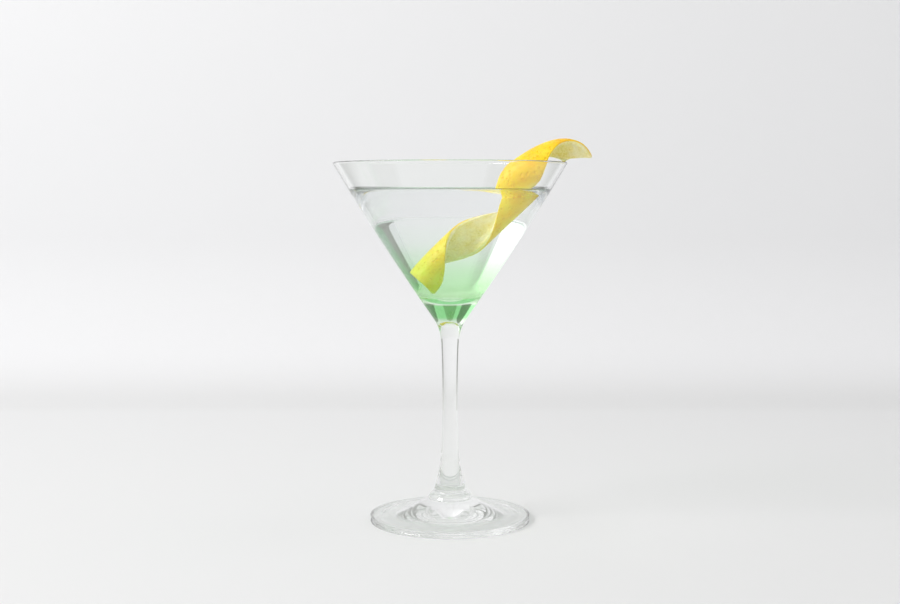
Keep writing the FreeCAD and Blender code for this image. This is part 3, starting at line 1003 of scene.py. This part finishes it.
class GlassSettings(bpy.types.PropertyGroup):
    """Finish of the glass."""

    tint: colour_text("Tint", "#FEFFFE", "sRGB hex colour of the clear glass")
    # Painted refraction: this green stands in for the drink seen through the thick point of the
    # bowl.
    tip_painted_green: colour_text("Tint of the tip", "#74DD7C", "sRGB hex of the green it gathers")
    foot_shade: colour_text("Shade of the foot", "#9AA29E", "sRGB hex of lamplight through it")
    ior: bending(1.5, "How strongly the glass bends light")
    steps_round: bpy.props.IntProperty(
        name="Steps round", description="Faces in one turn", default=192, min=48, max=256
    )


class DrinkSettings(bpy.types.PropertyGroup):
    """Colours of the drink, and how it stands against the wall."""

    # Painted shade: a darker green tint along the waterline on the wall.
    waterline_painted_shade: colour_text("Edge colour", "#A8DDB4", "sRGB hex tint of the edge on the wall")
    top_colour: colour_text("Top colour", "#FBFBFD", "sRGB hex tint near the surface")
    middle_colour: colour_text("Middle colour", "#F0FAF1", "sRGB hex tint half way up")
    low_colour: colour_text("Low colour", "#CDF9C8", "sRGB hex tint above the bottom")
    bottom_colour: colour_text("Bottom colour", "#C8F8BE", "sRGB hex tint near the bottom")
    settled_colour: colour_text("Settled colour", "#E8FDE6", "sRGB hex tint at the very bottom")
    shadow_colour: colour_text("Shadow colour", "#FDFFFD", "sRGB hex of lamplight through it")
    ior: bending(1.35, "How strongly the drink bends light")
    reach: length(
        "Reach into the wall",
        0.25 * MM,
        "How far the drink runs into the glass, so that no air is left between",
    )
    climb: length(
        "Climb at the wall", 0.5 * MM, "How far the surface rises where it wets the glass"
    )
    climb_width: length(
        "Climb width", 0.9 * MM, "Distance in which that rise falls to about a third"
    )


class PeelSettings(bpy.types.PropertyGroup):
    """Colours and surface of the lemon peel."""

    rind: colour_text("Rind", "#FFDA20", "sRGB hex colour of the rind")
    # Also the painted lighter tone of the rind under the drink.
    rind_green_and_lit: colour_text("Rind, greener", "#FEEA38", "sRGB hex of its less ripe patches")
    # Also the painted shade that deepens the rind above the rim.
    rind_ripe_and_shaded: colour_text("Rind, riper", "#FFCA14", "sRGB hex of its riper patches")
    gland_colour: colour_text("Glands", "#F8E492", "sRGB hex that the rind takes on over them")
    pith: colour_text("Pith", "#FAF0AC", "sRGB hex colour of the pith")
    pith_shade: colour_text("Pith, deeper", "#EADD7E", "sRGB hex of the pith's thinner places")
    pith_pale: colour_text("Pith, thick", "#FFFBE4", "sRGB hex of the pith's thick places")
    gland_spacing: length("Gland spacing", 1.3 * MM, "Distance between the dimples of the rind")
    gland_depth: length("Gland depth", 0.28 * MM, "How deep the dimples are")
    cut_waver: length(
        "Cut waver", 0.5 * MM, "How far the knife's cut wanders from an even strip"
    )


class StageSettings(bpy.types.PropertyGroup):
    """Tones of the paper, of the cards round the glass and of the light."""

    floor_colour: colour_text("Floor", "#E5E5E5", "sRGB hex tone of the floor")
    # Painted shade: the paper is darker where it curves up.
    crease_painted_shade: colour_text("Crease", "#E0E0E0", "sRGB hex tone where the paper curves up")
    wall_colour: colour_text("Wall", "#EAEAEB", "sRGB hex tone of the wall")
    window_colour: colour_text("Window", "#FFFFFF", "sRGB hex tone of the window's card")
    card_colour: colour_text("Cards", "#8C8E86", "sRGB hex tone of the dark cards at the sides")
    high_card_colour: colour_text("Card above", "#B2B8A8", "sRGB hex tone of the card overhead")
    green_colour: colour_text("Green card", "#86AA8C", "sRGB hex tone of the upper green card")
    pale_green_colour: colour_text("Pale green card", "#A9D0AC", "sRGB hex tone of the lower one")
    low_card_colour: colour_text("Low cards", "#9A9C98", "sRGB hex tone of the low cards")
    card_foot_colour: colour_text("Card feet", "#D8D9D6", "sRGB hex tone where low cards stand")
    light_level: bpy.props.FloatProperty(
        name="Light level", description="Brightness of the studio lights", default=1.0, min=0
    )


# ---------------------------------------------------------------- operators


class COCKTAIL_OT_glass(bpy.types.Operator):
    """Build the stemmed glass as one turned piece of blown glass"""

    bl_idname = "cocktail.glass"
    bl_label = "Stemmed glass"

    def execute(self, context):
        settings = context.scene.cocktail_glass
        piece = turned_piece(
            "glass_blown", glass_outline(), blown_glass(settings), settings.steps_round
        )
        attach(piece, "root")
        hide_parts(GLASS_NODE)
        return {"FINISHED"}


class COCKTAIL_OT_drink(bpy.types.Operator):
    """Build the drink, which wets the bowl up to its level"""

    bl_idname = "cocktail.drink"
    bl_label = "Drink"

    def execute(self, context):
        settings = context.scene.cocktail_drink
        points = drink_outline(
            settings.reach / MM, settings.climb / MM, settings.climb_width / MM
        )
        steps_round = context.scene.cocktail_glass.steps_round
        piece = turned_piece("drink_poured", points, clear_drink(settings), steps_round)
        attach(piece, "root")
        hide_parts(DRINK_NODE)
        return {"FINISHED"}


class COCKTAIL_OT_peel(bpy.types.Operator):
    """Build the coiled strip of lemon peel with its dimpled rind"""

    bl_idname = "cocktail.peel"
    bl_label = "Lemon twist"

    def execute(self, context):
        settings = context.scene.cocktail_peel
        points, faces, depths = strip_lattice(Coil(), settings.cut_waver / MM)
        piece = mesh_object("lemon_peel_strip", points, [], faces)
        depth = piece.data.attributes.new("depth", "FLOAT", "POINT")
        depth.data.foreach_set("value", depths)
        add_nodes(
            piece,
            dimpling_tree(),
            {
                "Gland spacing": settings.gland_spacing,
                "Gland depth": settings.gland_depth,
                "Seed": GLAND_SEED,
                "Material": lemon_peel(settings),
            },
        )
        applied(piece)
        checked_closed(piece)
        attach(piece, "root")
        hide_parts(PEEL_NODE)
        return {"FINISHED"}


class COCKTAIL_OT_stage(bpy.types.Operator):
    """Build the paper sweep, the studio lights, the world and the camera"""

    bl_idname = "cocktail.stage"
    bl_label = "Stage"

    def execute(self, context):
        scene = context.scene
        settings = scene.cocktail_stage
        paper_sweep(settings)
        window_lamp(settings.light_level)
        studio_cards(settings)
        pale_room(scene, settings.wall_colour)
        front_camera(scene)
        scene.view_settings.view_transform = "Standard"
        # Light crosses many walls of clear stuff, and its sharp glints are kept.
        scene.cycles.max_bounces = 64
        scene.cycles.transmission_bounces = 64
        scene.cycles.glossy_bounces = 32
        scene.cycles.blur_glossy = 0.0
        return {"FINISHED"}


class COCKTAIL_PT_panel(bpy.types.Panel):
    """Sizes, colours and the pieces of the cocktail"""

    bl_label = "Cocktail"
    bl_idname = "COCKTAIL_PT_panel"
    bl_space_type = "VIEW_3D"
    bl_region_type = "UI"
    bl_category = "Cocktail"

    def draw(self, context):
        for name, kind, operator in SECTIONS:
            box = self.layout.box()
            settings = getattr(context.scene, name)
            for key in kind.__annotations__:
                box.prop(settings, key)
            box.operator(operator.bl_idname)


SECTIONS = (
    ("cocktail_stage", StageSettings, COCKTAIL_OT_stage),
    ("cocktail_glass", GlassSettings, COCKTAIL_OT_glass),
    ("cocktail_drink", DrinkSettings, COCKTAIL_OT_drink),
    ("cocktail_peel", PeelSettings, COCKTAIL_OT_peel),
)


def register():
    for name, kind, operator in SECTIONS:
        bpy.utils.register_class(kind)
        bpy.utils.register_class(operator)
        setattr(bpy.types.Scene, name, bpy.props.PointerProperty(type=kind))
    bpy.utils.register_class(COCKTAIL_PT_panel)


def unregister():
    bpy.utils.unregister_class(COCKTAIL_PT_panel)
    for name, kind, operator in reversed(SECTIONS):
        delattr(bpy.types.Scene, name)
        bpy.utils.unregister_class(operator)
        bpy.utils.unregister_class(kind)


def main():
    register()
    bpy.ops.cocktail.stage()
    bpy.ops.cocktail.glass()
    bpy.ops.cocktail.drink()
    bpy.ops.cocktail.peel()


if __name__ == "__main__":
    main()
